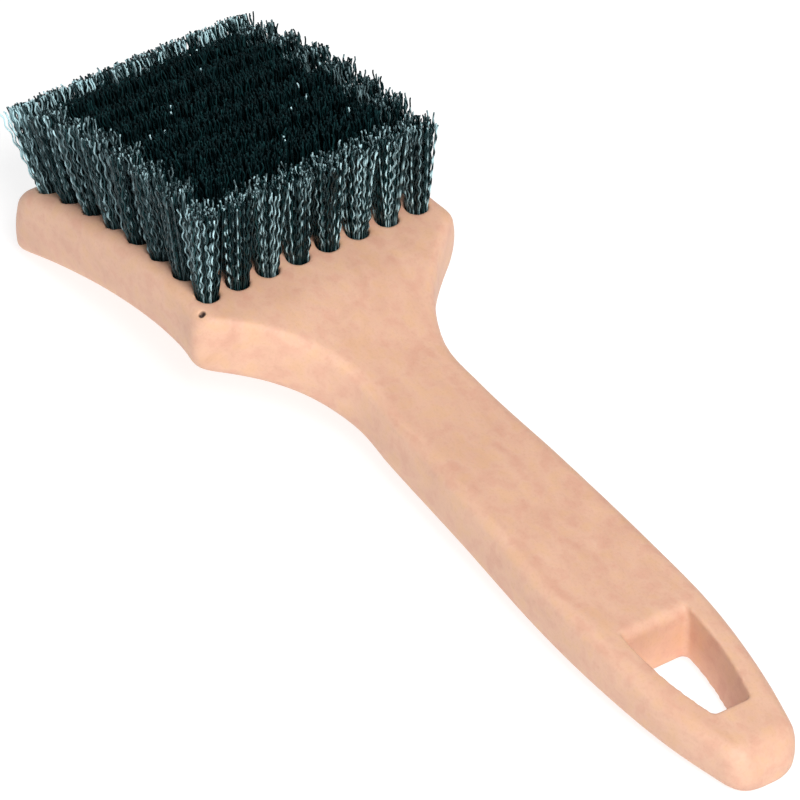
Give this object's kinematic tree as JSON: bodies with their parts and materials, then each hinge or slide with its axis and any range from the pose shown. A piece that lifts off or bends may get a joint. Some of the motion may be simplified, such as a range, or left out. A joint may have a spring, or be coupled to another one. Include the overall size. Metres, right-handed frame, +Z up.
{
  "type": "wheel brush",
  "caption": "Short-handled wheel brush: a one-piece moulded block with an arched flared head, staple-set tufts of stiff crimped bristle and a hang slot near the end of the handle.",
  "frame": {"origin": "below the middle of the whole brush, on the plane it rests on when it lies on its back", "axes": "+X from the head towards the end of the handle, +Z up with the bristles up, +Y across the head; the XZ plane is the plane of symmetry"},
  "size_m": [0.2396, 0.07, 0.0532],
  "materials": {
    "block_foam": "moulded structural foam, tan, matt with faint flow swirl",
    "bristle": "crimped filament, blue-black, semi-gloss",
    "anchor_steel": "cold-drawn flat wire, plain"
  },
  "bodies": {
    "root": {"handle_block": "block_foam", "tuft_row_1": "bristle", "tuft_row_2": "bristle", "tuft_row_3": "bristle", "tuft_row_4": "bristle", "tuft_row_5": "bristle", "tuft_row_6": "bristle", "tuft_row_7": "bristle", "tuft_row_8": "bristle", "anchor_row_1": "anchor_steel", "anchor_row_2": "anchor_steel", "anchor_row_3": "anchor_steel", "anchor_row_4": "anchor_steel", "anchor_row_5": "anchor_steel", "anchor_row_6": "anchor_steel", "anchor_row_7": "anchor_steel", "anchor_row_8": "anchor_steel"}
  },
  "joints": []
}
